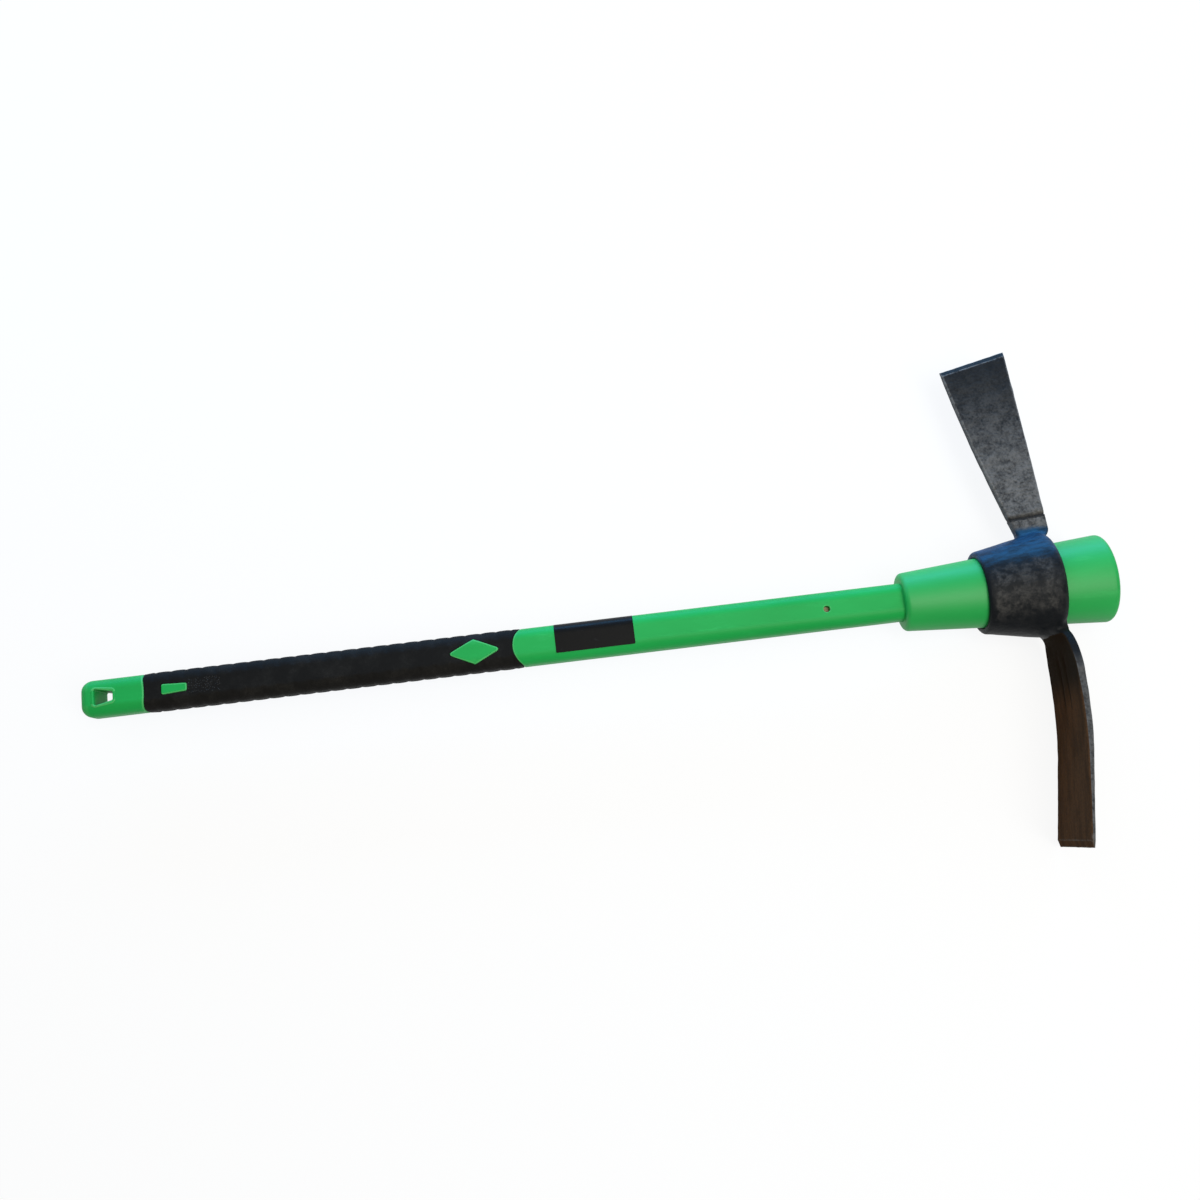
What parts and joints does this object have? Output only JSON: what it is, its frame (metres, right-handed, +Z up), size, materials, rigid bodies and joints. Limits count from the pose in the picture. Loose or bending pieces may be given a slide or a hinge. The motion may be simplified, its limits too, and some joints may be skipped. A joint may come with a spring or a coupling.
{
  "type": "cutter mattock",
  "caption": "Cutter mattock: forged head with axe blade and crosswise adze on a tapered slip-fit eye, jacketed fibreglass handle, soft rubber grip and hang hole.",
  "frame": {"origin": "centre of the flat end face of the eye sleeve, at the head end of the handle", "axes": "the tool lies on its side: +X along the handle from the butt to the eye end, +Y towards the cutter, +Z up, out of the plane of the blades"},
  "size_m": [0.9, 0.4435, 0.0832],
  "materials": {
    "forged_steel": "black scale and lacquer over forged steel, satin",
    "green_moulding": "smooth moulded polypropylene, semi-gloss",
    "grip_rubber": "soft moulded rubber, matt",
    "fibreglass": "glass-filled resin bar, cut end"
  },
  "bodies": {
    "handle": {"eye_sleeve": "green_moulding", "handle_jacket": "green_moulding", "fibreglass_core": "fibreglass", "rubber_grip": "grip_rubber"},
    "head": {"mattock_head": "forged_steel"}
  },
  "joints": [
    {"name": "head_slide", "type": "slide", "parent": "handle", "child": "head", "axis": [-1, 0, 0], "range_m": [0, 0.87]}
  ]
}
